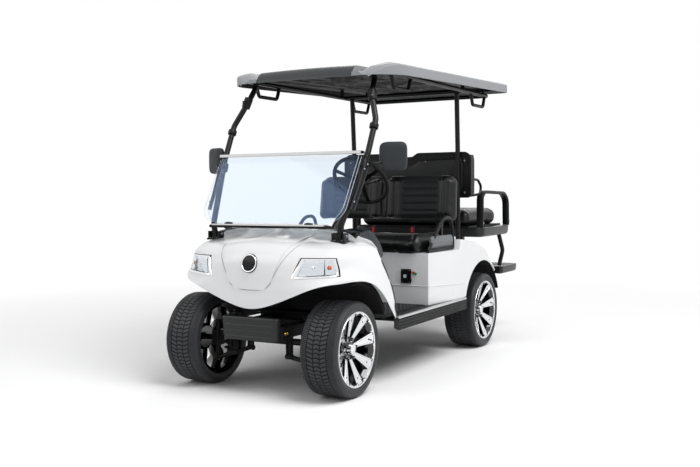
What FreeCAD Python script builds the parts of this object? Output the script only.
import FreeCAD, Part
import math
import os
import re

import Sketcher

os.makedirs("parts", exist_ok=True)

V = FreeCAD.Vector
doc = FreeCAD.newDocument("GolfCart")

# Driving dimensions in millimetres. Y is measured from the front axle here, and each piece is then placed
# so that the cart's origin is on the ground in the middle of its length.
SIZES = {
    # wheels and axles
    "Wheelbase": 1720,
    "FrontWheelX": 421,
    "RearWheelX": 456,
    "TyreRadius": 245,
    "TyreWidth": 206,
    "RimRadius": 191,
    "RimBarrel": 166,
    "SpokeCount": 8,
    "HubRadius": 32,
    "SpindleRadius": 15,
    "BearingGap": 0.4,
    "LugCircle": 50,
    "LugCount": 5,
    "KingpinX": 350,
    "KingpinRadius": 14,
    "KingpinHeight": 200,
    "SteeringArm": 100,
    "RackTubeRadius": 18,
    "PinGap": 1.5,
    # chassis
    "RailX": 160,
    "RailWidth": 50,
    "RailHeight": 60,
    "FloorTop": 365,
    "FloorThick": 8,
    "RailKick": 73,
    "RailFront": 175,
    "KickLead": 375,
    "KickRun": 90,
    "CrossRadius": 16,
    "SpringX": 270,
    "SpringWidth": 50,
    "SpringReach": 330,
    "SpringThick": 24,
    "SpringArch": 66,
    "AxleTube": 35,
    "FloorHalf": 500,
    # front body
    "FenderHalf": 560,
    "NoseReach": 195,
    "CowlBack": 383,
    "CowlTop": 845,
    "CowlSkin": 4,
    "PanelSkin": 4,
    "PanelGap": 0.3,
    "DashClear": 30,
    "RestGap": 0.3,
    "BadgeRadius": 50,
    "BadgeHeight": 680,
    "LampDepth": 30,
    "ArchRadius": 334,
    "LinerFlange": 30,
    "LinerSkin": 4,
    "BumperHalf": 165,
    "BumperLow": 290,
    "BumperHigh": 400,
    "BumperDepth": 40,
    # body pod under the seats
    "PodLead": 820,
    "PodHalf": 507,
    "BodyHalf": 540,
    "BodySkin": 6,
    "LedgeWidth": 50,
    "PodTop": 672,
    "ShoulderTop": 734,
    "RearArchRadius": 330,
    "TailReach": 230,
    "SillHalf": 562,
    "SillWidth": 60,
    "SillHeight": 75,
    "SillGap": 5,
    "SillLead": 348,
    # windshield, struts and roof
    "StrutRadius": 16,
    "StrutBend": 90,
    "StrutFootX": 394,
    "StrutMidX": 460,
    "StrutTopX": 392,
    "StrutKneeY": 325,
    "StrutKneeZ": 1421,
    "StrutShoulderY": 391,
    "StrutShoulderZ": 1563,
    "GlassThick": 6,
    "GlassCorner": 105,
    "GlassHalf": 436,
    "GlassLow": 872,
    "GlassHigh": 1232,
    "GlassFrontY": 0,
    "GlassTopY": 212,
    "FoldGap": 34,
    "RearStrutX": 391,
    "StrutLead": 75,
    "RoofFront": 330,
    "RoofReach": 470,
    "RoofHalf": 560,
    "RoofHigh": 1770,
    "RoofCrown": 18,
    "RoofBand": 56,
    "RoofRise": 50,
    "RoofRail": 14,
    "RoofVisor": 30,
    "RoofSkin": 6,
    "RoofFrontCut": 130,
    "RoofRearCut": 80,
    "RoofFrameX": 450,
    "RoofFrameRadius": 14,
    "HandleLength": 260,
    "HandleDrop": 66,
    "HandleRadius": 11,
    # seats and the rear deck
    "CushionHalf": 475,
    "CushionLip": 50,
    "CushionDepth": 440,
    "CushionThick": 100,
    "SeatBackHalf": 510,
    "SeatBackLow": 840,
    "SeatBackHigh": 1157,
    "SeatBackThick": 75,
    "SeatBackGap": 10,
    "SeatShoulder": 60,
    "SeatDip": 24,
    "DeckHalf": 500,
    "DeckLag": 100,
    "DeckLength": 580,
    "DeckTop": 785,
    "DeckHeight": 65,
    "DeckSkin": 5,
    "ArmrestInset": 26,
    "ArmrestWide": 50,
    "ArmrestThick": 22,
    "GrabRadius": 9,
    "GrabClear": 4,
    "RearCushionHalf": 420,
    "RearCushionLip": 58,
    "RearCushionGap": 50,
    "RearCushionThick": 114,
    "FlipRadius": 6,
    "FlipLength": 90,
    "RearBackHalf": 480,
    "RearBackLow": 990,
    "RearBackHigh": 1297,
    "FootHalf": 470,
    "FootLap": 100,
    "FootDepth": 344,
    "FootTop": 486,
    "RiserRadius": 15,
    # controls and small fittings
    "WheelRimRadius": 163,
    "WheelGrip": 12,
    "WheelX": 195,
    "WheelY": 650,
    "WheelZ": 1100,
    "WheelTilt": 40,
    "ColumnRadius": 19,
    "MirrorX": 577,
    "MirrorY": 280,
    "MirrorZ": 1223,
    "MirrorWide": 150,
    "MirrorTall": 160,
    "MirrorDeep": 38,
    "MirrorCorner": 32,
    "MirrorYaw": 26,
}

# Places along the cart that follow from the driving dimensions: the seats, the deck and the roof's rear go
# with the rear axle, and the footplate and the rear seat go with the deck.
PLACES = {
    "PodFront": "Wheelbase - PodLead",
    "CushionFront": "PodFront - CushionLip",
    "CushionBack": "CushionFront + CushionDepth",
    "SeatBackY": "CushionBack + SeatBackGap",
    "KickStart": "Wheelbase - KickLead",
    "SillStart": "CowlBack + SillGap",
    "SillEnd": "Wheelbase - SillLead",
    "RearStrutY": "Wheelbase - StrutLead",
    "TailEnd": "Wheelbase + TailReach",
    "RoofRear": "Wheelbase + RoofReach",
    "DeckFront": "Wheelbase + DeckLag",
    "DeckEnd": "DeckFront + DeckLength",
    "RailEnd": "DeckEnd",
    "RearCushionFront": "DeckFront - RearCushionLip",
    "RearCushionEnd": "DeckEnd - RearCushionGap",
    "FootFront": "DeckEnd - FootLap",
    "FootEnd": "FootFront + FootDepth",
}

# The cart's middle, from its foremost tyre to its rearmost edge, lies on the origin.
SHIFT = "(TyreRadius - FootEnd) / 2"

sheet = doc.addObject("Spreadsheet::Sheet", "Sizes")
for row, (alias, number) in enumerate(SIZES.items(), start=1):
    sheet.set(f"A{row}", alias)
    sheet.set(f"B{row}", str(number))
    sheet.setAlias(f"B{row}", alias)
doc.recompute()
for row, (alias, text) in enumerate(PLACES.items(), start=len(SIZES) + 1):
    sheet.set(f"A{row}", alias)
    sheet.set(f"B{row}", f"={text}")
    sheet.setAlias(f"B{row}", alias)
    doc.recompute()


def formula(text):
    """A formula with the sheet's name put before each alias, which begins with a capital letter."""
    return re.sub(r"\b[A-Z]\w*", lambda found: "Sizes." + found.group(), str(text))


def size(text):
    """The value of a formula of driving dimensions."""
    return float(sheet.evalExpression(formula(text)))


def bind(thing, **properties):
    """Ties properties of a document object to formulas; a double underscore stands for a dot."""
    for name, text in properties.items():
        thing.setExpression(name.replace("__", "."), formula(text))


def place(thing, x="0", y="0", z="0", shift=True):
    """Places a sub-part at formulas for x, y and z, with y counted from the front axle."""
    where = f"{y} + {SHIFT}" if shift else y
    bind(thing, Placement__Base__x=x, Placement__Base__y=where, Placement__Base__z=z)


def origin_plane(body, role):
    """One of a body's own origin planes or axes."""
    return next(feature for feature in body.Origin.OriginFeatures if feature.Role == role)


def flat_sketch(body, role, name, lift="0"):
    """An empty sketch on one of the body's own planes, lifted along its normal."""
    sketch = body.newObject("Sketcher::SketchObject", name)
    sketch.AttachmentSupport = (origin_plane(body, role), [""])
    sketch.MapMode = "FlatFace"
    bind(sketch, AttachmentOffset__Base__z=lift)
    return sketch


def polygon(body, role, name, corners, lift="0"):
    """A closed sketch through corners, each a pair of formulas that drive its constraints."""
    sketch = flat_sketch(body, role, name, lift)
    points = [V(size(across), size(up), 0) for across, up in corners]
    count = len(points)
    for index in range(count):
        sketch.addGeometry(Part.LineSegment(points[index], points[(index + 1) % count]))
    for index in range(count):
        sketch.addConstraint(Sketcher.Constraint("Coincident", index, 2, (index + 1) % count, 1))
    for index, (across, up) in enumerate(corners):
        for kind, text in (("DistanceX", across), ("DistanceY", up)):
            number = sketch.addConstraint(Sketcher.Constraint(kind, -1, 1, index, 1, size(text)))
            sketch.setExpression(f"Constraints[{number}]", formula(text))
    return sketch


def disc(body, role, name, across, up, radius, lift="0"):
    """A sketch with one circle, placed and sized by formulas."""
    sketch = flat_sketch(body, role, name, lift)
    sketch.addGeometry(Part.Circle(V(size(across), size(up), 0), V(0, 0, 1), size(radius)))
    for kind, text in (("DistanceX", across), ("DistanceY", up)):
        number = sketch.addConstraint(Sketcher.Constraint(kind, -1, 1, 0, 3, size(text)))
        sketch.setExpression(f"Constraints[{number}]", formula(text))
    number = sketch.addConstraint(Sketcher.Constraint("Radius", 0, size(radius)))
    sketch.setExpression(f"Constraints[{number}]", formula(radius))
    return sketch


def new_body(name):
    return doc.addObject("PartDesign::Body", name)


def pad(body, sketch, length, middle=True, name="Pad"):
    """A pad of a sketch, to both sides of it or along its normal."""
    feature = body.newObject("PartDesign::Pad", name)
    feature.Profile = sketch
    feature.Midplane = middle
    bind(feature, Length=length)
    sketch.Visibility = False
    return feature


def pocket(body, sketch, length, middle=True, reverse=False, name="Pocket"):
    """A pocket that must take something away, which its volume shows."""
    doc.recompute()
    before = body.Shape.Volume
    feature = body.newObject("PartDesign::Pocket", name)
    feature.Profile = sketch
    feature.Midplane = middle
    feature.Reversed = reverse
    bind(feature, Length=length)
    doc.recompute()
    if not feature.Shape.Volume < before:
        raise ValueError(f"{body.Name} {name} cuts nothing")
    return feature


def spin(body, sketch, axis="H_Axis", name="Revolution"):
    """A full turn of a sketch about one of its own axes."""
    feature = body.newObject("PartDesign::Revolution", name)
    feature.Profile = sketch
    feature.ReferenceAxis = (sketch, [axis])
    feature.Angle = 360
    return feature


def polar(body, features, count, role="X_Axis", name="Polar"):
    """Copies of features all round an origin axis of the body."""
    pattern = body.newObject("PartDesign::PolarPattern", name)
    pattern.Originals = features
    pattern.Axis = (origin_plane(body, role), [""])
    pattern.Angle = 360
    bind(pattern, Occurrences=count)
    body.Tip = pattern
    return pattern


def edges_along(shape, direction):
    """Names of the straight edges that run along a direction."""
    found = []
    for number, edge in enumerate(shape.Edges, start=1):
        if edge.Curve.TypeId != "Part::GeomLine":
            continue
        if abs(abs(edge.Curve.Direction.dot(direction)) - 1) < 1e-6:
            found.append(f"Edge{number}")
    return found


def round_edges(body, radius, direction=None, name="Round"):
    """Fillets the body's edges that run along a direction, or all of its edges."""
    doc.recompute()
    base = body.Tip
    if direction is None:
        names = [f"Edge{number}" for number in range(1, len(base.Shape.Edges) + 1)]
    else:
        names = edges_along(base.Shape, direction)
    feature = body.newObject("PartDesign::Fillet", name)
    feature.Base = (base, names)
    bind(feature, Radius=radius)
    return feature


def prism(name, role, corners, length, lift="0", middle=True, rounding=None):
    """A body padded from a polygon, with the edges along the pad rounded if asked."""
    body = new_body(name)
    pad(body, polygon(body, role, name + "Outline", corners, lift), length, middle)
    if rounding:
        along = {"YZ_Plane": V(1, 0, 0), "XZ_Plane": V(0, 1, 0), "XY_Plane": V(0, 0, 1)}[role]
        round_edges(body, rounding, along)
    return body


def box(name, x0, x1, y0, y1, z0, z1, rounding=None, role="XY_Plane"):
    """A block between formulas for its six faces."""
    if role == "XY_Plane":
        corners = [(x0, y0), (x1, y0), (x1, y1), (x0, y1)]
        return prism(name, role, corners, f"({z1}) - ({z0})", lift=z0, middle=False, rounding=rounding)
    corners = [(y0, z0), (y1, z0), (y1, z1), (y0, z1)]
    return prism(name, role, corners, f"({x1}) - ({x0})", lift=x0, middle=False, rounding=rounding)


def rod(name, radius, length, start, turn_axis=(0, 1, 0), angle=90):
    """A round bar from a start point, along +X unless its turn says otherwise."""
    bar = doc.addObject("Part::Cylinder", name)
    bind(bar, Radius=radius, Height=length)
    bar.Placement = FreeCAD.Placement(V(), FreeCAD.Rotation(V(*turn_axis), angle))
    place(bar, *start, shift=False)
    return bar


def boolean(kind, name, tools):
    """A Part boolean of two or more document objects."""
    result = doc.addObject(kind, name)
    if kind == "Part::Cut":
        result.Base, result.Tool = tools
    else:
        result.Shapes = tools
    return result


def fuse(name, tools):
    return boolean("Part::MultiFuse", name, tools)


def common(name, tools):
    return boolean("Part::MultiCommon", name, tools)


def cut(name, base, tool):
    return boolean("Part::Cut", name, [base, tool])


def group(name, members):
    """Solids that don't touch, held as one sub-part."""
    result = doc.addObject("Part::Compound", name)
    result.Links = members
    return result


def mirrored(name, source):
    """The same piece on the other side of the centre plane."""
    copy = doc.addObject("Part::Mirroring", name)
    copy.Source = source
    copy.Normal = V(1, 0, 0)
    return copy


def both_sides(name, source):
    """A piece and its mirror image as one sub-part."""
    return group(name, [source, mirrored(name + "Mirror", source)])


def shaped(name, shape):
    """A sub-part whose form is a free surface or a bent tube."""
    feature = doc.addObject("Part::Feature", name)
    feature.Shape = shape
    return feature


NODES = []


def node(label, thing, shift=True):
    """Names a sub-part and moves it from the front axle's frame to the cart's own."""
    thing.Label = label
    if shift:
        bind(thing, Placement__Base__y=SHIFT)
    NODES.append(thing)
    return thing


def points_at(rows):
    """Points from triples of formulas."""
    return [V(size(x), size(y), size(z)) for x, y, z in rows]


def mirror_points(points):
    return [V(-point.x, point.y, point.z) for point in points]


def bent_path(points, bend):
    """A wire of straight runs joined by arcs, each arc no larger than its two runs allow."""
    edges = []
    last = points[0]
    for before, corner, after in zip(points, points[1:], points[2:]):
        back = (before - corner).normalize()
        ahead = (after - corner).normalize()
        half = back.getAngle(ahead) / 2
        run = min((before - corner).Length, (after - corner).Length)
        reach = min(bend / math.tan(half), 0.45 * run)
        start = corner + back * reach
        end = corner + ahead * reach
        middle_way = (back + ahead).normalize()
        radius = reach * math.tan(half)
        middle = corner + middle_way * (radius / math.sin(half) - radius)
        edges.append(Part.LineSegment(last, start).toShape())
        edges.append(Part.Arc(start, middle, end).toShape())
        last = end
    edges.append(Part.LineSegment(last, points[-1]).toShape())
    return Part.Wire(edges)


def tube(points, radius, bend):
    """A round bar bent along points."""
    path = bent_path(points, bend)
    ahead = (points[1] - points[0]).normalize()
    section = Part.Wire([Part.Circle(points[0], ahead, radius).toShape()])
    return path.makePipeShell([section], True, True)


def band(points, wide, thick, bend):
    """A flat bar with its width along x, bent along points that share one value of x."""
    path = bent_path(points, bend)
    first = points[0]
    corners = [V(first.x + across * wide / 2, first.y + along * thick / 2, first.z)
               for across, along in ((-1, -1), (1, -1), (1, 1), (-1, 1))]
    section = Part.makePolygon(corners + corners[:1])
    return path.makePipeShell([section], True, False)


def smooth_face(rows):
    """One smooth face through rows of points."""
    surface = Part.BSplineSurface()
    surface.interpolate(rows)
    return surface.toShape()


def skin(face, inner, outer):
    """A sheet that lies between two distances from a face, counted along the face's outward side."""
    base = face
    if abs(inner) > 1e-9:
        base = face.makeOffsetShape(inner, 0.01, fill=False)
    sheet_solid = base.makeOffsetShape(outer - inner, 0.01, fill=True)
    return sheet_solid if sheet_solid.Volume > 0 else sheet_solid.reversed()


def seated(blank, carrier, outward):
    """The part of a blank that stands on the outer side of what crosses it."""
    return max(blank.cut(carrier).Solids, key=lambda solid: solid.CenterOfMass.dot(outward))


# Wheels: a low tyre on a machined rim with spokes, turning on its own hub.

def tyre_body(name):
    body = new_body(name)
    corners = [
        ("-TyreWidth/2 + 14", "RimRadius + 0.3"), ("-TyreWidth/2 + 3", "RimRadius + 6"),
        ("-TyreWidth/2", "(RimRadius + TyreRadius) / 2"), ("-TyreWidth/2 + 7", "TyreRadius - 13"),
        ("-TyreWidth/2 + 26", "TyreRadius - 2"), ("-TyreWidth/6", "TyreRadius"),
        ("TyreWidth/6", "TyreRadius"), ("TyreWidth/2 - 26", "TyreRadius - 2"),
        ("TyreWidth/2 - 7", "TyreRadius - 13"), ("TyreWidth/2", "(RimRadius + TyreRadius) / 2"),
        ("TyreWidth/2 - 3", "RimRadius + 6"), ("TyreWidth/2 - 14", "RimRadius + 0.3"),
        ("TyreWidth/2 - 24", "RimRadius + 0.3"), ("TyreWidth/2 - 16", "RimRadius + 12"),
        ("TyreWidth/2 - 14", "(RimRadius + TyreRadius) / 2 + 4"), ("TyreWidth/2 - 30", "TyreRadius - 16"),
        ("-TyreWidth/2 + 30", "TyreRadius - 16"), ("-TyreWidth/2 + 14", "(RimRadius + TyreRadius) / 2 + 4"),
        ("-TyreWidth/2 + 16", "RimRadius + 12"), ("-TyreWidth/2 + 24", "RimRadius + 0.3"),
    ]
    spin(body, polygon(body, "XY_Plane", name + "Section", corners))
    return body


def rim_body(name):
    """The rim is drawn with its polished face towards +X."""
    body = new_body(name)
    barrel = [
        ("-TyreWidth/2 + 8", "RimBarrel"), ("TyreWidth/2 - 24", "RimBarrel"),
        ("TyreWidth/2 - 4", "RimRadius - 10"), ("TyreWidth/2 - 4", "RimRadius"),
        ("-TyreWidth/2 + 8", "RimRadius"),
    ]
    spin(body, polygon(body, "XY_Plane", name + "Barrel", barrel), name=name + "BarrelTurn")
    face = [
        ("0", "SpindleRadius + BearingGap"), ("46", "SpindleRadius + BearingGap"), ("46", "0"), ("74", "0"),
        ("76", "HubRadius"), ("66", "HubRadius + 4"), ("66", "HubRadius + 34"),
        ("TyreWidth/2 - 14", "RimBarrel + 4"), ("TyreWidth/2 - 44", "RimBarrel + 4"),
        ("44", "HubRadius + 28"), ("40", "HubRadius + 2"), ("0", "HubRadius + 2"),
    ]
    spin(body, polygon(body, "XY_Plane", name + "Face", face), name=name + "FaceTurn")
    near, far = "HubRadius + 44", "RimBarrel - 8"
    window = [
        (f"-({near}) * 0.10", near), (f"({near}) * 0.10", near),
        (f"({far}) * 0.27", f"({far}) * 0.93"), (f"({far}) * 0.14", f"({far}) * 0.985"),
        (f"-({far}) * 0.14", f"({far}) * 0.985"), (f"-({far}) * 0.27", f"({far}) * 0.93"),
    ]
    opening = pocket(body, polygon(body, "YZ_Plane", name + "Window", window), "TyreWidth",
                     name=name + "WindowCut")
    polar(body, [opening], "SpokeCount", name=name + "Windows")
    doc.recompute()
    lug = pad(body, disc(body, "YZ_Plane", name + "Lug", "LugCircle", "0", "8", lift="60"), "18",
              middle=False, name=name + "LugPad")
    polar(body, [lug], "LugCount", name=name + "Lugs")
    return body


def wheel(side, end, sign):
    """A tyre and a rim with the polished face outwards; sign is 1 on the left."""
    x = f"{sign} * {end.capitalize()}WheelX"
    y = "0" if end == "front" else "Wheelbase"
    for kind, maker in (("tyre", tyre_body), ("rim", rim_body)):
        body = maker(f"{kind.capitalize()}{end.capitalize()}{side.capitalize()}")
        if sign < 0:
            body.Placement = FreeCAD.Placement(V(), FreeCAD.Rotation(V(0, 0, 1), 180))
        place(body, x, y, "TyreRadius")
        node(f"{kind}_{end}_{side}", body, shift=False)


for end in ("front", "rear"):
    for side, sign in (("left", 1), ("right", -1)):
        wheel(side, end, sign)


# Chassis: two rails that rise over the rear axle, joined by cross tubes.

RAIL_TOP = "FloorTop - FloorThick"
RAIL_LOW = f"{RAIL_TOP} - RailHeight"
SPRING_SEAT = "TyreRadius + AxleTube + RestGap"
SPRING_TOP = f"{SPRING_SEAT} + SpringArch + 9 + RestGap"
RACK_LEVEL = "TyreRadius - 8"
EYE_HALF = "11"

# The floor begins just behind the front arch liner, whose outer face is round about the axle.
FLOOR_FRONT = f"sqrt(pow(ArchRadius; 2) - pow({RAIL_TOP} - TyreRadius; 2)) + RestGap"


def chassis_frame():
    rail_profile = [
        ("-RailFront", RAIL_LOW), ("KickStart", RAIL_LOW),
        ("KickStart + KickRun", f"{RAIL_LOW} + RailKick"), ("RailEnd", f"{RAIL_LOW} + RailKick"),
        ("RailEnd", f"{RAIL_TOP} + RailKick"), ("KickStart + KickRun", f"{RAIL_TOP} + RailKick"),
        ("KickStart", RAIL_TOP), ("-RailFront", RAIL_TOP),
    ]
    rail = prism("Rail", "YZ_Plane", rail_profile, "RailWidth", lift="RailX - RailWidth/2", middle=False)
    members = [rail, mirrored("RailOther", rail)]
    low = f"{RAIL_LOW} + RailHeight/2"
    high = f"{low} + RailKick"
    stations = [
        ("FrontCross", "-RailFront + 30", low, "RailX"), ("RackCross", "230", low, "RailX"),
        ("SeatCross", "PodFront + 40", low, "FloorHalf - 30"), ("FloorCross", "560", low, "FloorHalf - 30"),
        ("HangerCross", "Wheelbase - SpringReach", f"{SPRING_TOP} + CrossRadius", "SpringX + SpringWidth/2"),
        ("ShackleCross", "Wheelbase + SpringReach", f"{SPRING_TOP} + CrossRadius", "SpringX + SpringWidth/2"),
        ("TailCross", "RailEnd - 40", high, "RailX"),
    ]
    for name, y, z, half in stations:
        members.append(rod(name, "CrossRadius", f"2 * ({half})", (f"-({half})", y, z)))
    return node("chassis_frame", fuse("ChassisFrame", members))


def front_bumper():
    """A ribbed black bumper ahead of the frame."""
    body = box("FrontBumper", "-BumperHalf", "BumperHalf", "-RailFront - BumperDepth", "-RailFront",
               "BumperLow", "BumperHigh", rounding="14")
    groove = [
        ("-BumperHalf - 1", "BumperLow + 32"), ("BumperHalf + 1", "BumperLow + 32"),
        ("BumperHalf + 1", "BumperLow + 40"), ("-BumperHalf - 1", "BumperLow + 40"),
    ]
    first = pocket(body, polygon(body, "XZ_Plane", "BumperGroove", groove, lift="RailFront + BumperDepth - 8"),
                   "20", middle=False, reverse=True, name="GrooveCut")
    rows = body.newObject("PartDesign::LinearPattern", "Grooves")
    rows.Originals = [first]
    rows.Direction = (origin_plane(body, "Z_Axis"), [""])
    rows.Length = 44
    rows.Occurrences = 3
    body.Tip = rows
    return node("front_bumper", body)


def front_suspension():
    """Lower arms, their ball seats and the shock absorbers beside the rails."""
    inner = "RailX + RailWidth/2 - 2"
    low = "TyreRadius - KingpinHeight/2 - RestGap - 16"
    arm = [
        (inner, "-110"), (inner, "-75"), ("KingpinX - 40", "-14"), ("KingpinX - 40", "14"),
        (inner, "SteeringArm - 60"), (inner, "SteeringArm - 28"), ("KingpinX + 14", "20"), ("KingpinX + 14", "-20"),
    ]
    wishbone = prism("Wishbone", "XY_Plane", arm, "16", lift=low, middle=False)
    brackets = [
        box(f"ArmBracket{count}", "RailX", "RailX + RailWidth/2", first, last, low, RAIL_LOW)
        for count, (first, last) in enumerate((("-114", "-71"), ("SteeringArm - 64", "SteeringArm - 24")), start=1)
    ]
    return node("front_suspension", both_sides("FrontSuspension", fuse("ArmSide", [wishbone] + brackets)))


chassis_frame()
front_bumper()
front_suspension()


def knuckle(side, sign):
    """The upright with its stub axle and steering arm."""
    name = "Knuckle" + side.capitalize()
    x = f"{sign} * KingpinX"
    reach = "FrontWheelX + 38 - KingpinX"
    start = x if sign > 0 else f"{x} - ({reach})"
    members = [
        rod(name + "Pin", "KingpinRadius", "KingpinHeight", (x, "0", "TyreRadius - KingpinHeight/2"),
            angle=0),
        rod(name + "Stub", "SpindleRadius", reach, (start, "0", "TyreRadius")),
        box(name + "Block", f"{x} - 22", f"{x} + 22", "-32", "32", "TyreRadius - 38", "TyreRadius + 38",
            rounding="8"),
        box(name + "Arm", f"{x} - {sign} * 14 - 12", f"{x} - {sign} * 14 + 12", "0", "SteeringArm + 14",
            f"{RACK_LEVEL} - {EYE_HALF} - PinGap - 12", f"{RACK_LEVEL} - {EYE_HALF} - PinGap"),
    ]
    return node(f"knuckle_{side}", fuse(name, members))


knuckle("left", 1)
knuckle("right", -1)


def steering_gear():
    """A rack housing on the frame, and the rack with its tie rods."""
    high = RACK_LEVEL
    bar = rod("RackBar", "9", "2 * (KingpinX - 14)", ("-(KingpinX - 14)", "SteeringArm", high))
    eyes = [
        rod(f"RackEye{count}", "13", f"2 * {EYE_HALF}",
            (f"{sign} * (KingpinX - 14)", "SteeringArm", f"{high} - {EYE_HALF}"), angle=0)
        for count, sign in enumerate((1, -1), start=1)
    ]
    node("steering_rack", fuse("SteeringRack", [bar] + eyes))
    half = "RailX + RailWidth/2 - 4"
    barrel = rod("RackTube", "RackTubeRadius", f"2 * ({half})", (f"-({half})", "SteeringArm", high))
    hangers = [
        box(f"RackHanger{count}", f"{sign} * RailX - 14", f"{sign} * RailX + 14", "SteeringArm - 12",
            "SteeringArm + 12", high, RAIL_LOW)
        for count, sign in enumerate((1, -1), start=1)
    ]
    bore = rod("RackBore", "9 + 0.5", "2 * RailX + 60", ("-RailX - 30", "SteeringArm", high))
    node("steering_rack_housing", cut("RackHousing", fuse("RackOuter", [barrel] + hangers), bore))


steering_gear()


def rear_axle():
    """Axle tube, stub shafts, final drive and motor."""
    y, z = "Wheelbase", "TyreRadius"
    half = "RearWheelX - TyreWidth/2 - 16"
    members = [
        rod("AxleTube", "AxleTube", f"2 * ({half})", (f"-({half})", y, z)),
        rod("AxleShaft", "SpindleRadius", "2 * (RearWheelX + 38)", ("-(RearWheelX + 38)", y, z)),
        rod("FinalDrive", "92", "110", ("20", y, z)),
        rod("Motor", "80", "210", ("-190", f"{y} + 70", f"{z} + 6")),
    ]
    for count, sign in enumerate((1, -1), start=1):
        x = f"{sign} * ({half} + 4)" if sign > 0 else f"-({half}) - 12"
        members.append(rod(f"BrakeDrum{count}", "84", "8", (x, y, z)))
    return node("rear_axle", fuse("RearAxle", members))


def rear_springs():
    """Leaf springs over the axle tube, hung from the two cross tubes."""
    base = SPRING_SEAT
    reach = "SpringReach"
    profile = [
        (f"Wheelbase - {reach} - 12", f"{base} + SpringArch"), (f"Wheelbase - {reach} + 12", f"{base} + SpringArch"),
        ("Wheelbase - 120", f"{base} + 8"),
        ("Wheelbase - 60", base), ("Wheelbase + 60", base), ("Wheelbase + 120", f"{base} + 8"),
        (f"Wheelbase + {reach} - 12", f"{base} + SpringArch"), (f"Wheelbase + {reach} + 12", f"{base} + SpringArch"),
        (f"Wheelbase + {reach} + 12", f"{base} + SpringArch + 9"),
        (f"Wheelbase + {reach} - 12", f"{base} + SpringArch + 9"),
        ("Wheelbase + 120", f"{base} + SpringThick + 6"), ("Wheelbase - 120", f"{base} + SpringThick + 6"),
        (f"Wheelbase - {reach} + 12", f"{base} + SpringArch + 9"),
        (f"Wheelbase - {reach} - 12", f"{base} + SpringArch + 9"),
    ]
    leaf = prism("LeafSpring", "YZ_Plane", profile, "SpringWidth", lift="SpringX - SpringWidth/2",
                 middle=False)
    return node("rear_springs", both_sides("RearSprings", leaf))


rear_axle()
rear_springs()


# Floor, mat and side sills.

def floor_parts():
    pan = box("FloorPan", "-FloorHalf", "FloorHalf", FLOOR_FRONT, "KickStart",
              "FloorTop - FloorThick", "FloorTop")
    node("floor_pan", pan)
    mat = box("FloorMat", "-FloorHalf + 20", "FloorHalf - 20", f"{FLOOR_FRONT} + 36", "PodFront - 2",
              "FloorTop", "FloorTop + 4", rounding="20")
    node("floor_mat", mat)
    sill = box("Sill", "SillHalf - SillWidth", "SillHalf", "SillStart", "SillEnd",
               "FloorTop - RestGap - SillHeight", "FloorTop - RestGap", rounding="8", role="YZ_Plane")
    node("side_sills", both_sides("SideSills", sill))


floor_parts()


# Front body: one smooth skin from the arch lip up to the hood's rear edge. Each row runs from the centre
# to the rear edge of the fender, as shares of the fender's half width, the cowl's length and its height.

COWL_ROWS = {
    "lip": [(0, 0, .527), (.27, 0, .565), (.54, .005, .634), (.72, .045, .678), (.85, .165, .69),
            (.955, .32, .70), (1.0, .60, .645), (1.0, .80, .54), (.98, .997, .4225)],
    "belt": [(0, 0, .639), (.27, .003, .669), (.45, .01, .69), (.62, .045, .705), (.76, .115, .722),
             (.87, .22, .735), (.945, .39, .738), (.975, .60, .71), (.985, .80, .625), (.975, .985, .521)],
    "lamp foot": [(0, 0, .757), (.268, .012, .757), (.45, .035, .762), (.62, .08, .77), (.77, .16, .78),
                  (.87, .28, .79), (.94, .51, .785), (.955, .76, .73), (.955, .939, .644)],
    "lamp brow": [(0, .03, .846), (.25, .045, .842), (.495, .09, .84), (.65, .135, .842), (.79, .21, .846),
                  (.865, .33, .855), (.905, .54, .852), (.918, .72, .815), (.929, .861, .757)],
    "shoulder": [(0, .235, .935), (.232, .25, .93), (.429, .275, .925), (.58, .31, .922), (.70, .375, .922),
                 (.79, .49, .916), (.85, .61, .902), (.88, .70, .88), (.902, .791, .846)],
    "hood edge": [(0, .548, 1.0), (.232, .548, .998), (.43, .548, .992), (.60, .553, .981),
                  (.70, .572, .972), (.77, .605, .957), (.825, .655, .94), (.875, .713, .917)],
}


# Each row is first drawn as one smooth curve and then divided evenly into this many points.
COWL_COLUMNS = 31


def cowl_face():
    """The cowl's outer face, with its outward side towards the front."""
    length = size("NoseReach + CowlBack")
    rows = []
    for shares in COWL_ROWS.values():
        half = [
            V(x * size("FenderHalf"), y * length - size("NoseReach"), z * size("CowlTop"))
            for x, y, z in shares
        ]
        curve = Part.BSplineCurve()
        curve.interpolate(mirror_points(reversed(half[1:])) + half)
        rows.append(curve.toShape().discretize(Number=COWL_COLUMNS))
    return smooth_face(rows)


def front_prism(name_points, y0, y1):
    """A block with a front-view outline of x and z, between two values of y."""
    points = [V(size(x), y0, size(z)) for x, z in name_points]
    wire = Part.makePolygon(points + points[:1])
    return Part.Face(wire).extrude(V(0, y1 - y0, 0))


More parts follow.
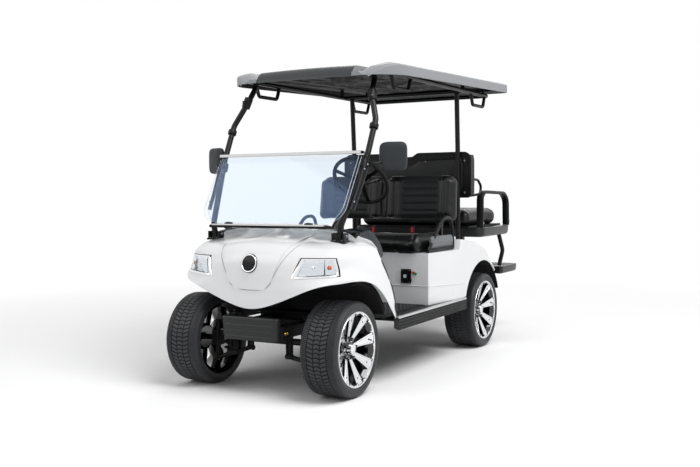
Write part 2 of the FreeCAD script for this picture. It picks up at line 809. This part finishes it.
def front_body():
    face = cowl_face()
    cowl = skin(face, 0, size("CowlSkin"))
    lamp_outline = [
        ("FenderHalf * 0.43", "CowlTop * 0.716"), ("FenderHalf * 0.845", "CowlTop * 0.731"),
        ("FenderHalf * 0.796", "CowlTop * 0.84"), ("FenderHalf * 0.495", "CowlTop * 0.84"),
    ]
    back, front = -size("NoseReach") - 60, size("CowlBack")
    lamp_block = front_prism(lamp_outline, back, front)
    lamp = skin(face, -2, size("LampDepth")).common(lamp_block)
    grown = lamp_block.makeOffsetShape(size("PanelGap"), 0.01)
    other = grown.mirror(V(), V(1, 0, 0))
    cowl = cowl.cut(grown).cut(other)
    shield = [
        ("-FenderHalf * 0.42", "CowlTop + 30"), ("-FenderHalf * 0.24", "CowlTop * 0.70"),
        ("-FenderHalf * 0.16", "CowlTop * 0.645"), ("FenderHalf * 0.16", "CowlTop * 0.645"),
        ("FenderHalf * 0.24", "CowlTop * 0.70"), ("FenderHalf * 0.42", "CowlTop + 30"),
    ]
    gap = size("PanelGap")
    panel = skin(face, -gap - size("PanelSkin"), -gap).common(front_prism(shield, back, front))
    node("front_cowl", shaped("FrontCowl", cowl))
    node("hood_panel", shaped("HoodPanel", panel))
    node("headlights", both_sides("Headlights", shaped("Headlight", lamp)))
    return face, panel


cowl_outside, panel_shape = front_body()


def badge_disc(panel):
    """A plain disc whose back follows the hood panel."""
    z = size("BadgeHeight")
    line = Part.LineSegment(V(0, -size("NoseReach") - 60, z), V(0, 0, z)).toShape()
    hits = [vertex.Point for vertex in line.common(panel).Vertexes]
    front = min(hits, key=lambda point: point.y)
    tilt = V(0, -math.cos(math.radians(12)), math.sin(math.radians(12)))
    blank = Part.makeCylinder(size("BadgeRadius"), 26, front - tilt * 20, tilt)
    node("badge_disc", shaped("BadgeDisc", seated(blank, panel, V(0, -1, 0))))


badge_disc(panel_shape)


def arc_sheet(centre, radii, angles, reach):
    """A curved sheet about an axle, between two radii, two angles and two values of x."""
    (outer, inner), (a, b) = radii, [math.radians(angle) for angle in angles]
    mid = (a + b) / 2

    def at(r, angle):
        return V(reach[0], centre + r * math.cos(angle), size("TyreRadius") + r * math.sin(angle))

    edges = [
        Part.Arc(at(outer, a), at(outer, mid), at(outer, b)).toShape(),
        Part.LineSegment(at(outer, b), at(inner, b)).toShape(),
        Part.Arc(at(inner, b), at(inner, mid), at(inner, a)).toShape(),
        Part.LineSegment(at(inner, a), at(outer, a)).toShape(),
    ]
    return Part.Face(Part.Wire(edges)).extrude(V(reach[1] - reach[0], 0, 0))


def arch_liners():
    """Thin curved liners behind and above the wheels; the front ones end in a flange behind the arch's lip."""
    wall, flange = size("LinerSkin"), size("LinerFlange")
    front, rear = size("ArchRadius"), size("RearArchRadius + LinerSkin + RestGap")
    inner, outer = size("RailX + RailWidth/2 + 2"), size("FenderHalf - 42")
    hood = arc_sheet(0, (front, front - wall), (-5, 98), (inner, outer))
    rim = arc_sheet(0, (front + flange, front - wall / 2), (4, 78), (outer - wall, outer))
    around_cowl = skin(cowl_outside, -size("RestGap"), size("CowlSkin + RestGap"))
    front_liner = max(hood.fuse(rim).cut(around_cowl).Solids, key=lambda solid: solid.Volume)
    rear_liner = arc_sheet(size("Wheelbase"), (rear, rear - wall), (20, 148),
                           (size("SpringX + SpringWidth/2 + 8"), size("BodyHalf - BodySkin - RestGap")))
    halves = []
    for label, shape in (("FrontLiner", front_liner), ("RearLiner", rear_liner)):
        half = shaped(label, shape)
        halves += [half, mirrored(label + "Other", half)]
    node("arch_liners", group("ArchLiners", halves))


arch_liners()


def column_line():
    """The point where the steering column meets its wheel, and the way down along it."""
    lean = math.radians(size("WheelTilt"))
    return V(size("WheelX"), size("WheelY"), size("WheelZ")), V(0, -math.cos(lean), -math.sin(lean))


def dashboard():
    """A dash under the windshield with open bins at both ends, on a toe board, bored for the column."""
    profile = [
        ("CowlBack - 245", "CowlTop - 20"), ("CowlBack - 245", "CowlTop - 250"),
        (f"{FLOOR_FRONT} + 16", "FloorTop"), (f"{FLOOR_FRONT} + 34", "FloorTop"),
        ("CowlBack - 225", "CowlTop - 262"), ("CowlBack - 120", "CowlTop - 235"),
        ("CowlBack - 60", "CowlTop - 90"), ("CowlBack - 110", "CowlTop - 8"),
    ]
    body = prism("DashBlock", "YZ_Plane", profile, "2 * (FloorHalf - 62)", rounding="6")
    for count, sign in enumerate((1, -1), start=1):
        bin_mouth = [
            (f"{sign} * (FloorHalf - 110)", "CowlTop - 120"), (f"{sign} * (FloorHalf - 290)", "CowlTop - 120"),
            (f"{sign} * (FloorHalf - 290)", "CowlTop - 200"), (f"{sign} * (FloorHalf - 110)", "CowlTop - 200"),
        ]
        pocket(body, polygon(body, "XZ_Plane", f"Bin{count}", bin_mouth, lift="-(CowlBack - 50)"),
               "130", middle=False, reverse=True, name=f"BinCut{count}")
    top, down = column_line()
    bore = Part.makeCylinder(size("ColumnRadius + RestGap"), 560, top, down)
    room = skin(cowl_outside, -size("DashClear"), size("CowlSkin + RestGap"))
    wheel_room = Part.makeCylinder(size("ArchRadius + RestGap"), size("2 * FenderHalf"),
                                   V(-size("FenderHalf"), 0, size("TyreRadius")), V(1, 0, 0))
    bored = cut("DashBored", body, shaped("DashRoom", Part.makeCompound([bore, room, wheel_room])))
    doc.recompute()
    inside = max(bored.Shape.Solids, key=lambda solid: solid.Volume)
    return node("dashboard", shaped("Dashboard", inside))


dashboard()


# Body pod under the seats: two upright walls and a front wall, with a sloping skin behind the seat.

def pod_block(name, inset, drop):
    """The pod's outer form, or the room inside it when inset by the wall."""
    plan = [
        (f"-PodHalf + {inset}", f"PodFront + {inset}"), (f"PodHalf - {inset}", f"PodFront + {inset}"),
        (f"BodyHalf - {inset}", f"PodFront + 320 + {inset} * 0"), (f"BodyHalf - {inset}", "TailEnd + 5"),
        (f"-BodyHalf + {inset}", "TailEnd + 5"), (f"-BodyHalf + {inset}", "PodFront + 320"),
    ]
    upright = prism(name + "Plan", "XY_Plane", plan, "ShoulderTop", lift=f"FloorTop - {drop}", middle=False)
    return upright


def rear_body():
    arch_low = "Wheelbase - RearArchRadius + 20"
    outer_side = [
        ("PodFront - 5", "FloorTop"), ("PodFront - 5", "PodTop"), ("CushionBack + 10", "PodTop"),
        ("CushionBack + 32", "ShoulderTop"), ("Wheelbase - 176", "ShoulderTop - 22"),
        ("Wheelbase + 35", "ShoulderTop - 84"), ("TailEnd", "TyreRadius + 250"),
        ("TailEnd - 30", "TyreRadius + 200"), ("Wheelbase", "TyreRadius + 100"), (arch_low, "FloorTop"),
    ]
    inner_side = [
        ("PodFront - 9", "FloorTop - 20"), ("PodFront - 9", "PodTop - BodySkin"),
        ("CushionBack + 38", "PodTop - BodySkin"), ("CushionBack + 38", "ShoulderTop - BodySkin - 1"),
        ("Wheelbase - 176", "ShoulderTop - 22 - BodySkin"),
        ("Wheelbase + 35", "ShoulderTop - 84 - BodySkin * 1.1"),
        ("TailEnd + 5", "TyreRadius + 250 - BodySkin * 1.2"), ("TailEnd + 5", "TyreRadius + 100"),
        ("Wheelbase", "FloorTop - 20"),
    ]
    shell = common("PodOuter", [
        pod_block("PodOuter", "0", "0"),
        prism("PodOuterSide", "YZ_Plane", outer_side, "2 * BodyHalf + 20"),
    ])
    room = common("PodRoom", [
        pod_block("PodInner", "BodySkin", "30"),
        prism("PodInnerSide", "YZ_Plane", inner_side, "2 * BodyHalf + 20"),
    ])
    arch = rod("PodArch", "RearArchRadius", "2 * BodyHalf + 40", ("-BodyHalf - 20", "Wheelbase", "TyreRadius"))
    mouth = box("PodMouth", "-PodHalf + LedgeWidth", "PodHalf - LedgeWidth", "PodFront + LedgeWidth",
                "CushionBack - LedgeWidth", "PodTop - 2 * BodySkin", "PodTop + BodySkin", rounding="20")
    holes = [
        rod(f"StrutHole{count}", "StrutRadius + RestGap", "300", (f"{sign} * RearStrutX", "RearStrutY", "ShoulderTop - 200"),
            angle=0)
        for count, sign in enumerate((1, -1), start=1)
    ]
    voids = fuse("PodVoids", [room, mouth, arch] + holes)
    return node("rear_body", cut("RearBody", shell, voids))


rear_body()


def battery_pack():
    pack = box("BatteryPack", "-300", "300", "PodFront + 40", "CushionBack - 30", "FloorTop", "FloorTop + 250",
               rounding="12")
    return node("battery_pack", pack)


battery_pack()


# Struts, windshield and roof.

FRAME_LEVEL = "RoofHigh - 78"
FRAME_UNDER = f"{FRAME_LEVEL} - RoofFrameRadius - RestGap"
STRUT_LOW = ("StrutFootX + 8", "40", "CowlTop + 12")
STRUT_MIDDLE = ("StrutMidX", "GlassTopY + 26", "GlassHigh + 10")


def front_struts():
    """Bent tubes from feet on the cowl to the roof's frame."""
    x, y = size("StrutFootX"), 52
    drop = Part.LineSegment(V(x, y, size("CowlTop + 60")), V(x, y, size("CowlTop - 200"))).toShape()
    ground = max(point.Point.z for point in drop.common(skin(cowl_outside, 0, size("CowlSkin"))).Vertexes)
    path = [V(x, y, ground + 18)] + points_at([
        STRUT_LOW, STRUT_MIDDLE, ("StrutMidX + 2", "StrutKneeY", "StrutKneeZ"),
        ("StrutTopX + 13", "StrutShoulderY", "StrutShoulderZ"),
        ("StrutTopX", "RoofFront + 118", f"{FRAME_UNDER} - 28"), ("StrutTopX", "RoofFront + 118", FRAME_UNDER),
    ])
    bar = tube(path, size("StrutRadius"), size("StrutBend"))
    room = tube(path, size("StrutRadius + RestGap"), size("StrutBend"))
    blank = Part.makeCylinder(size("StrutRadius") + 8, 60, V(x, y, ground - 40))
    foot = seated(blank, skin(cowl_outside, -size("RestGap"), size("CowlSkin")), V(0, 0, 1))
    node("front_struts", both_sides("FrontStruts", shaped("FrontStrut", bar.fuse(foot))))
    return room


def rear_struts():
    """Tubes that pass through the body's shoulder and carry the roof and the rear seat's back."""
    path = points_at([
        ("RearStrutX", "RearStrutY", "Wheelbase - RearStrutY + TyreRadius + RearArchRadius - 60"),
        ("RearStrutX", "RearStrutY", "RearBackHigh + 17"), ("RearStrutX + 2", "RearStrutY - 20", FRAME_UNDER),
    ])
    bar = tube(path, size("StrutRadius"), size("StrutBend"))
    node("rear_struts", both_sides("RearStruts", shaped("RearStrut", bar)))


def glass_panel(low_y, low_z, top_y, top_z, half_low, half_top):
    """A flat clear panel that leans back, with round lower corners."""
    foot = V(0, size(low_y), size(low_z))
    rise = V(0, size(top_y), size(top_z)) - foot
    height = rise.Length
    up = rise.normalize()
    corner, low, top = size("GlassCorner"), size(half_low), size(half_top)
    bend = corner * (1 - math.sqrt(0.5))

    def at(x, w):
        return foot + V(x, 0, 0) + up * w

    edges = [
        Part.LineSegment(at(corner - low, 0), at(low - corner, 0)).toShape(),
        Part.Arc(at(low - corner, 0), at(low - bend, bend), at(low, corner)).toShape(),
        Part.LineSegment(at(low, corner), at(top, height)).toShape(),
        Part.LineSegment(at(top, height), at(-top, height)).toShape(),
        Part.LineSegment(at(-top, height), at(-low, corner)).toShape(),
        Part.Arc(at(-low, corner), at(bend - low, bend), at(corner - low, 0)).toShape(),
    ]
    return Part.Face(Part.Wire(edges)).extrude(V(1, 0, 0).cross(up) * size("GlassThick"))


def windshield(strut_room):
    """A clear lower pane, the upper pane folded down in front of it, and the bars between the struts."""
    fold = "FoldGap"
    lower = glass_panel("GlassFrontY", "GlassLow", "GlassTopY", "GlassHigh", "GlassHalf", "GlassHalf + 6")
    node("windshield_lower", shaped("WindshieldLower", lower))
    upper = glass_panel(f"GlassFrontY - {fold}", "GlassLow + 6", f"GlassTopY - {fold}", "GlassHigh", "GlassHalf + 2",
                        "GlassHalf + 8")
    node("windshield_upper", shaped("WindshieldUpper", upper))
    blank = box("TopRailBlank", "-StrutMidX", "StrutMidX", f"GlassTopY - {fold} - 8", "GlassTopY + 26",
                "GlassHigh + GlassThick * 0.52 + RestGap", "GlassHigh + 20", rounding="5")
    rooms = shaped("StrutRooms", Part.makeCompound([strut_room, strut_room.mirror(V(), V(1, 0, 0))]))
    rails = [
        cut("TopRail", blank, rooms),
        box("LowRail", "-GlassHalf + 60", "GlassHalf - 60", f"GlassFrontY - {fold} - 10", "GlassFrontY + 8",
            "GlassLow - 22", "GlassLow - RestGap", rounding="5"),
    ]
    node("windshield_rails", group("WindshieldRails", rails))


front_strut_room = front_struts()
rear_struts()
windshield(front_strut_room)


def roof_height(x, y):
    """Height of the roof's outer face: it rises to the rear, with raised side rails and a visor that dips."""
    half, front, rear = size("RoofHalf"), size("RoofFront"), size("RoofRear")
    across = min(abs(x) / half, 1.0)
    along = (y - front) / (rear - front)
    crown = 0.6 * size("RoofCrown") * (1 - across ** 2)
    rail = size("RoofRail") * math.exp(-((across - 0.86) / 0.13) ** 2)
    visor = size("RoofVisor") * math.exp(-((along + 0.02) / 0.10) ** 2) * math.exp(-(across / 0.55) ** 4)
    edge = size("RoofRail") * max(0.0, across - 0.90) / 0.10
    return size("RoofHigh") + size("RoofRise") * (along - 0.8) + crown + rail - visor - edge


def roof_slab(drop):
    """Everything below the roof's outer face lowered by a drop."""
    half, front, rear = size("RoofHalf") + 20, size("RoofFront") - 20, size("RoofRear") + 20
    across = [-half + step * half / 8 for step in range(17)]
    along = [front + step * (rear - front) / 12 for step in range(13)]
    rows = [[V(x, y, roof_height(x, y) - drop) for x in across] for y in along]
    return smooth_face(rows).extrude(V(0, 0, -200))


def roof_plan(inset):
    """The roof's outline seen from above, with its corners cut and rounded."""
    half, front, rear = size("RoofHalf") - inset, size("RoofFront") + inset, size("RoofRear") - inset
    front_cut, rear_cut = size("RoofFrontCut"), size("RoofRearCut")
    right = [
        V(half - front_cut, front, 0), V(half - front_cut * 0.15, front + front_cut * 1.15, 0),
        V(half, front + front_cut * 3.2, 0), V(half, rear - rear_cut * 3.8, 0),
        V(half - rear_cut * 0.3, rear - rear_cut * 0.75, 0), V(half - rear_cut, rear, 0),
    ]
    points = right + [V(-point.x, point.y, 0) for point in reversed(right)]
    wire = Part.makePolygon(points + points[:1])
    return Part.Face(wire).extrude(V(0, 0, 400)).translated(V(0, 0, size("RoofHigh") - 250))


def roof_canopy():
    outer = roof_plan(0).common(roof_slab(0)).cut(roof_slab(size("RoofBand")))
    inner = roof_plan(size("RoofSkin")).common(roof_slab(size("RoofSkin")))
    node("roof_canopy", shaped("RoofCanopy", outer.cut(inner)))


def roof_frame():
    """A tube loop under the canopy with cross tubes at the struts and pads that carry the canopy."""
    front, rear = "RoofFront + 118", "RoofRear - 170"
    side = size("RoofFrameX")
    radius = size("RoofFrameRadius")
    height = size(FRAME_LEVEL)
    members = []
    for sign in (1, -1):
        start = V(sign * side, size(front), height)
        members.append(Part.makeCylinder(radius, size(f"({rear}) - ({front})"), start, V(0, 1, 0)))
    for y in (front, "RearStrutY - 20", rear):
        members.append(Part.makeCylinder(radius, 2 * side, V(-side, size(y), height), V(1, 0, 0)))
    for y in (front, rear):
        for sign in (1, -1):
            members.append(Part.makeSphere(radius, V(sign * side, size(y), height)))
    pads = [
        Part.makeCylinder(12, size("RoofHigh + RoofRise") - height, V(sign * side, y, height))
        for y in (size(front) + 60, size("RearStrutY - 60"), size(rear) - 60) for sign in (1, -1)
    ]
    under_roof = roof_slab(size("RoofSkin + RestGap"))
    shape = members[0].multiFuse(members[1:] + [pad_blank.common(under_roof) for pad_blank in pads])
    node("roof_frame", shaped("RoofFrame", shape.removeSplitter()))


def roof_handles():
    """Grab handles under the roof's frame, two in front and two behind."""
    handles = []
    level, drop = size(FRAME_LEVEL), size("HandleDrop + RoofFrameRadius")
    length = size("HandleLength")
    for sign in (1, -1):
        x = sign * size("RoofFrameX")
        room = Part.makeCylinder(size("RoofFrameRadius + RestGap"), size("RoofRear - RoofFront"),
                                 V(x, size("RoofFront"), level), V(0, 1, 0))
        for start in ("RoofFront + 200", "RoofRear - 200 - HandleLength"):
            y = size(start)
            points = [V(x, y, level), V(x, y + 34, level - drop), V(x, y + length - 34, level - drop),
                      V(x, y + length, level)]
            handles.append(seated(tube(points, size("HandleRadius"), 22), room, V(0, 0, -1)))
    node("roof_handles", shaped("RoofHandles", Part.makeCompound(handles)))


roof_canopy()
roof_frame()
roof_handles()


# Seats, the rear deck and what stands on it.

def bench_back(name, side, half, low, high):
    """A back with a side profile and a front outline of two rounded places with a dip between them."""
    outline = [
        (f"-({half})", low), (half, low), (half, f"({high}) - SeatShoulder"),
        (f"({half}) - SeatShoulder * 0.3", f"({high}) - SeatShoulder * 0.3"), (f"({half}) - SeatShoulder", high),
        ("SeatShoulder * 1.6", high), ("SeatShoulder * 0.7", f"({high}) - SeatDip"),
        ("-SeatShoulder * 0.7", f"({high}) - SeatDip"), ("-SeatShoulder * 1.6", high),
        (f"SeatShoulder - ({half})", high),
        (f"SeatShoulder * 0.3 - ({half})", f"({high}) - SeatShoulder * 0.3"),
        (f"-({half})", f"({high}) - SeatShoulder"),
    ]
    face = prism(name + "Front", "XZ_Plane", outline, "2 * Wheelbase + 2 * SeatBackY")
    return common(name, [side, face])


def front_seat():
    low = "PodTop + RestGap"
    cushion = [
        ("CushionFront + 12", low), ("CushionFront", f"{low} + CushionThick * 0.55"),
        ("CushionFront + 26", f"{low} + CushionThick"), ("CushionBack - 60", f"{low} + CushionThick * 0.9"),
        ("CushionBack", f"{low} + CushionThick * 0.82"), ("CushionBack", low),
    ]
    node("front_seat_cushion", prism("SeatCushion", "YZ_Plane", cushion, "2 * CushionHalf", rounding="14"))
    lean = "45"
    back = [
        ("SeatBackY + 10", "SeatBackLow"), (f"SeatBackY + {lean}", "SeatBackHigh - 30"),
        (f"SeatBackY + {lean} + 24", "SeatBackHigh"), (f"SeatBackY + {lean} + SeatBackThick", "SeatBackHigh - 8"),
        ("SeatBackY + SeatBackThick + 10", "SeatBackLow"),
    ]
    side = prism("SeatBackSide", "YZ_Plane", back, "2 * SeatBackHalf", rounding="10")
    node("front_seat_back", bench_back("SeatBack", side, "SeatBackHalf", "SeatBackLow", "SeatBackHigh"))
    rear = "SeatBackY + SeatBackThick + 10 + RestGap"
    rise = f"({lean} - 10) * (SeatBackHigh - 60 - SeatBackLow) / (SeatBackHigh - 8 - SeatBackLow)"
    bracket = [
        (rear, "ShoulderTop - 6"), (f"{rear} + 18", "ShoulderTop - 6"), (f"{rear} + {rise} + 18", "SeatBackHigh - 60"),
        (f"{rear} + {rise}", "SeatBackHigh - 60"), (rear, "SeatBackLow"),
    ]
    support = prism("SeatBracket", "YZ_Plane", bracket, "40", lift="CushionHalf - 130", middle=False)
    node("seat_frame", both_sides("SeatFrame", support))


def hip_restraints():
    """A bent tube loop and its pad beside the front seat."""
    x = "PodHalf - 12"
    z = "PodTop + 14 + RestGap"
    loop = [
        (x, "PodFront + 22", z), (x, "PodFront + 252", "PodTop + 200"),
        (x, "PodFront + 378", "PodTop + 203"), (x, "PodFront + 402", "PodTop + 90"),
        (x, "PodFront + 390", z),
    ]
    points = points_at(loop)
    bar = tube(points, 14, 40)
    foot = Part.makeCylinder(14, (points[-1] - points[0]).Length, points[0], V(0, 1, 0))
    ends = [Part.makeSphere(14, point) for point in (points[0], points[-1])]
    pad_block = Part.makeBox(26, 260, 72, V(points[0].x - 13, points[0].y + 110, points[0].z + 8))
    side = bar.multiFuse([foot, pad_block] + ends)
    node("hip_restraints", both_sides("HipRestraints", shaped("HipRestraint", side)))


def rear_seat():
    """The rearward seat: a back on the roof struts, and a cushion on a plate that flips over."""
    back_y = "RearStrutY + StrutRadius + 0.5"
    panel = box("RearBackPanelSide", "-RearBackHalf", "RearBackHalf", back_y, f"{back_y} + 10", "RearBackLow",
                "RearBackHigh")
    pad_body = box("RearBackPadSide", "-RearBackHalf + 6", "RearBackHalf - 6", f"{back_y} + 10", f"{back_y} + 82",
                   "RearBackLow + 6", "RearBackHigh - 4", rounding="20")
    node("rear_back_panel", bench_back("RearBackPanel", panel, "RearBackHalf", "RearBackLow", "RearBackHigh"))
    node("rear_seat_back", bench_back("RearBackPad", pad_body, "RearBackHalf - 6", "RearBackLow + 6",
                                      "RearBackHigh - 4"))
    plate_top = "DeckTop + 13"
    plate = box("RearSeatPlate", "-RearCushionHalf", "RearCushionHalf", "RearCushionFront + 8", "DeckEnd",
                "DeckTop + RestGap", plate_top)
    barrels = [
        rod(f"FlipBarrel{count}", "FlipRadius", "FlipLength",
            (f"{sign} * RearCushionHalf / 2 - FlipLength / 2", "DeckEnd + 5", f"{plate_top} + 2"))
        for count, sign in enumerate((1, -1), start=1)
    ]
    node("rear_seat_plate", fuse("RearSeatPlateAndBarrels", [plate] + barrels))
    cushion = box("RearCushion", "-RearCushionHalf", "RearCushionHalf", "RearCushionFront", "RearCushionEnd",
                  plate_top, f"{plate_top} + RearCushionThick", rounding="30")
    node("rear_seat_cushion", cushion)


def rear_deck():
    """A hollow moulded tray on two posts, open underneath."""
    x, skin_wall = "DeckHalf", "DeckSkin"
    body = box("RearDeck", f"-{x}", x, "DeckFront", "DeckEnd", "DeckTop - DeckHeight", "DeckTop",
               rounding="60")
    under = [
        (f"-{x} + {skin_wall}", f"DeckFront + {skin_wall}"), (f"{x} - {skin_wall}", f"DeckFront + {skin_wall}"),
        (f"{x} - {skin_wall}", f"DeckEnd - {skin_wall}"), (f"-{x} + {skin_wall}", f"DeckEnd - {skin_wall}"),
    ]
    sketch = polygon(body, "XY_Plane", "DeckUnder", under, lift=f"DeckTop - {skin_wall}")
    pocket(body, sketch, "DeckHeight", middle=False, name="DeckHollow")
    node("rear_deck", body)
    posts = []
    rail_top = f"{RAIL_TOP} + RailKick"
    for count, y in enumerate(("TailEnd + 20", "FootFront - 45"), start=1):
        posts.append(box(f"DeckPost{count}", "RailX - 20", "RailX + 20", y, f"{y} + 40", rail_top,
                         "DeckTop - DeckSkin"))
    return posts


def rear_armrests():
    """Broad bands that arch over the deck's sides."""
    x = "DeckHalf - ArmrestInset"
    z = "DeckTop"
    points = points_at([
        (x, "DeckFront + 22", z), (x, "DeckFront + 22", "DeckTop + 189"), (x, "DeckFront + 127", "DeckTop + 246"),
        (x, "DeckEnd - 147", "DeckTop + 223"), (x, "DeckEnd - 30", "DeckTop + 146"), (x, "DeckEnd - 30", z),
    ])
    bar = band(points, size("ArmrestWide"), size("ArmrestThick"), 60)
    node("rear_armrests", both_sides("RearArmrests", shaped("RearArmrest", bar)))


def grab_loops():
    x = "DeckHalf - ArmrestInset - ArmrestWide/2 - GrabRadius - GrabClear"
    y = "RearStrutY + StrutRadius + 83"
    points = points_at([
        (x, y, "RearBackLow + 132"), (x, "DeckFront + 80", "RearBackLow + 120"),
        (x, "DeckFront + 139", "RearBackLow + 79"), (x, "DeckFront + 120", "RearBackLow + 24"),
        (x, y, "RearBackLow + 14"),
    ])
    bar = tube(points, size("GrabRadius"), 30)
    node("grab_loops", both_sides("GrabLoops", shaped("GrabLoop", bar)))


def footplate():
    low = f"{RAIL_TOP} + RailKick"
    body = box("Footplate", "-FootHalf", "FootHalf", "FootFront", "FootEnd", low, "FootTop", rounding="30")
    node("footplate", body)
    points = points_at([
        ("FootHalf - 40", "FootFront + 45", "FootTop + 4"), ("FootHalf - 12", "FootFront + 45", "FootTop + 116"),
        ("FootHalf - 57", "FootFront + 45", "DeckTop - DeckSkin - 5"),
    ])
    bar = tube(points, size("RiserRadius"), 80)
    return shaped("FootplateRiser", bar)


front_seat()
hip_restraints()
rear_seat()
deck_posts = rear_deck()
rear_armrests()
grab_loops()
riser = footplate()
node("rear_supports", both_sides("RearSupports", group("RearSupportSide", deck_posts + [riser])))


# Controls and small fittings.

def steering():
    rim = doc.addObject("Part::Torus", "WheelRim")
    bind(rim, Radius1="WheelRimRadius", Radius2="WheelGrip")
    hub = rod("WheelHub", "34", "40", ("0", "0", "-30"), angle=0)
    spokes = []
    for count, angle in enumerate((0, 120, 240), start=1):
        spoke = box(f"Spoke{count}", "20", "WheelRimRadius", "-12", "12", "-7", "3")
        spoke.Placement = FreeCAD.Placement(V(), FreeCAD.Rotation(V(0, 0, 1), angle + 90))
        spokes.append(spoke)
    wheel_solid = fuse("SteeringWheel", [rim, hub] + spokes)
    tilt = 90 - size("WheelTilt")
    wheel_solid.Placement = FreeCAD.Placement(V(), FreeCAD.Rotation(V(1, 0, 0), -tilt))
    place(wheel_solid, "WheelX", "WheelY", "WheelZ")
    node("steering_wheel", wheel_solid, shift=False)
    top, down = column_line()
    column = Part.makeCylinder(size("ColumnRadius"), 510, top + down * (30 + size("RestGap")), down)
    node("steering_column", shaped("SteeringColumn", column))


def pedals():
    """A brake and an accelerator pad on the toe board."""
    members = [
        box("BrakePad", "110", "190", f"{FLOOR_FRONT} + 40", f"{FLOOR_FRONT} + 52", "FloorTop + 4",
            "FloorTop + 150", rounding="5"),
        box("AcceleratorPad", "230", "290", f"{FLOOR_FRONT} + 40", f"{FLOOR_FRONT} + 52", "FloorTop + 4",
            "FloorTop + 150", rounding="5"),
    ]
    node("pedals", group("Pedals", members))


def mirrors():
    x = "MirrorX"
    outline = [("-MirrorWide/2", "-MirrorTall/2 + 8"), ("MirrorWide/2", "-MirrorTall/2"),
               ("MirrorWide/2", "MirrorTall/2"), ("-MirrorWide/2", "MirrorTall/2 - 8")]
    head = prism("MirrorHead", "XZ_Plane", outline, "MirrorDeep", rounding="MirrorCorner")
    head.Placement = FreeCAD.Placement(V(), FreeCAD.Rotation(V(0, 0, 1), size("MirrorYaw")))
    place(head, x, "MirrorY + MirrorDeep/2", "MirrorZ", shift=False)
    low, high = points_at([STRUT_LOW, STRUT_MIDDLE])
    axis = low + (high - low) * 0.85
    points = [axis, axis + V(56, 0, 0)] + points_at([(x, "MirrorY + MirrorDeep/2", "MirrorZ")])
    arm = shaped("MirrorArm", seated(tube(points, 8, 20), front_strut_room, V(1, 0, 0)))
    node("mirrors", both_sides("Mirrors", fuse("Mirror", [head, arm])))


def fittings():
    port = box("ChargePort", "320", "400", "PodFront - 14", "PodFront", "483", "583", rounding="5")
    node("charge_port", port)
    lamp = box("TailLamp", "DeckHalf - 170", "DeckHalf - 80", "DeckEnd", "DeckEnd + 8",
               "DeckTop - DeckHeight + 14", "DeckTop - 14")
    node("tail_lights", both_sides("TailLights", lamp))


steering()
pedals()
mirrors()
fittings()

doc.recompute()

for thing in doc.Objects:
    if "Invalid" in thing.State or "Error" in thing.State:
        owners = [owner.Label for owner in thing.InList]
        raise ValueError(f"{thing.Label} in {owners} could not be built: {thing.State}")
for thing in NODES:
    if thing.Shape.isNull() or not thing.Shape.isValid():
        raise ValueError(f"{thing.Label} has no valid shape")
for thing in NODES:
    thing.Shape.exportStep(f"parts/{thing.Label}.step")
    bounds = thing.Shape.BoundBox
    print(f"{thing.Label}: {len(thing.Shape.Solids)} solids, {thing.Shape.Volume / 1e6:.2f} litres, "
          f"x {bounds.XMin:.0f}..{bounds.XMax:.0f}, y {bounds.YMin:.0f}..{bounds.YMax:.0f}, "
          f"z {bounds.ZMin:.0f}..{bounds.ZMax:.0f}")
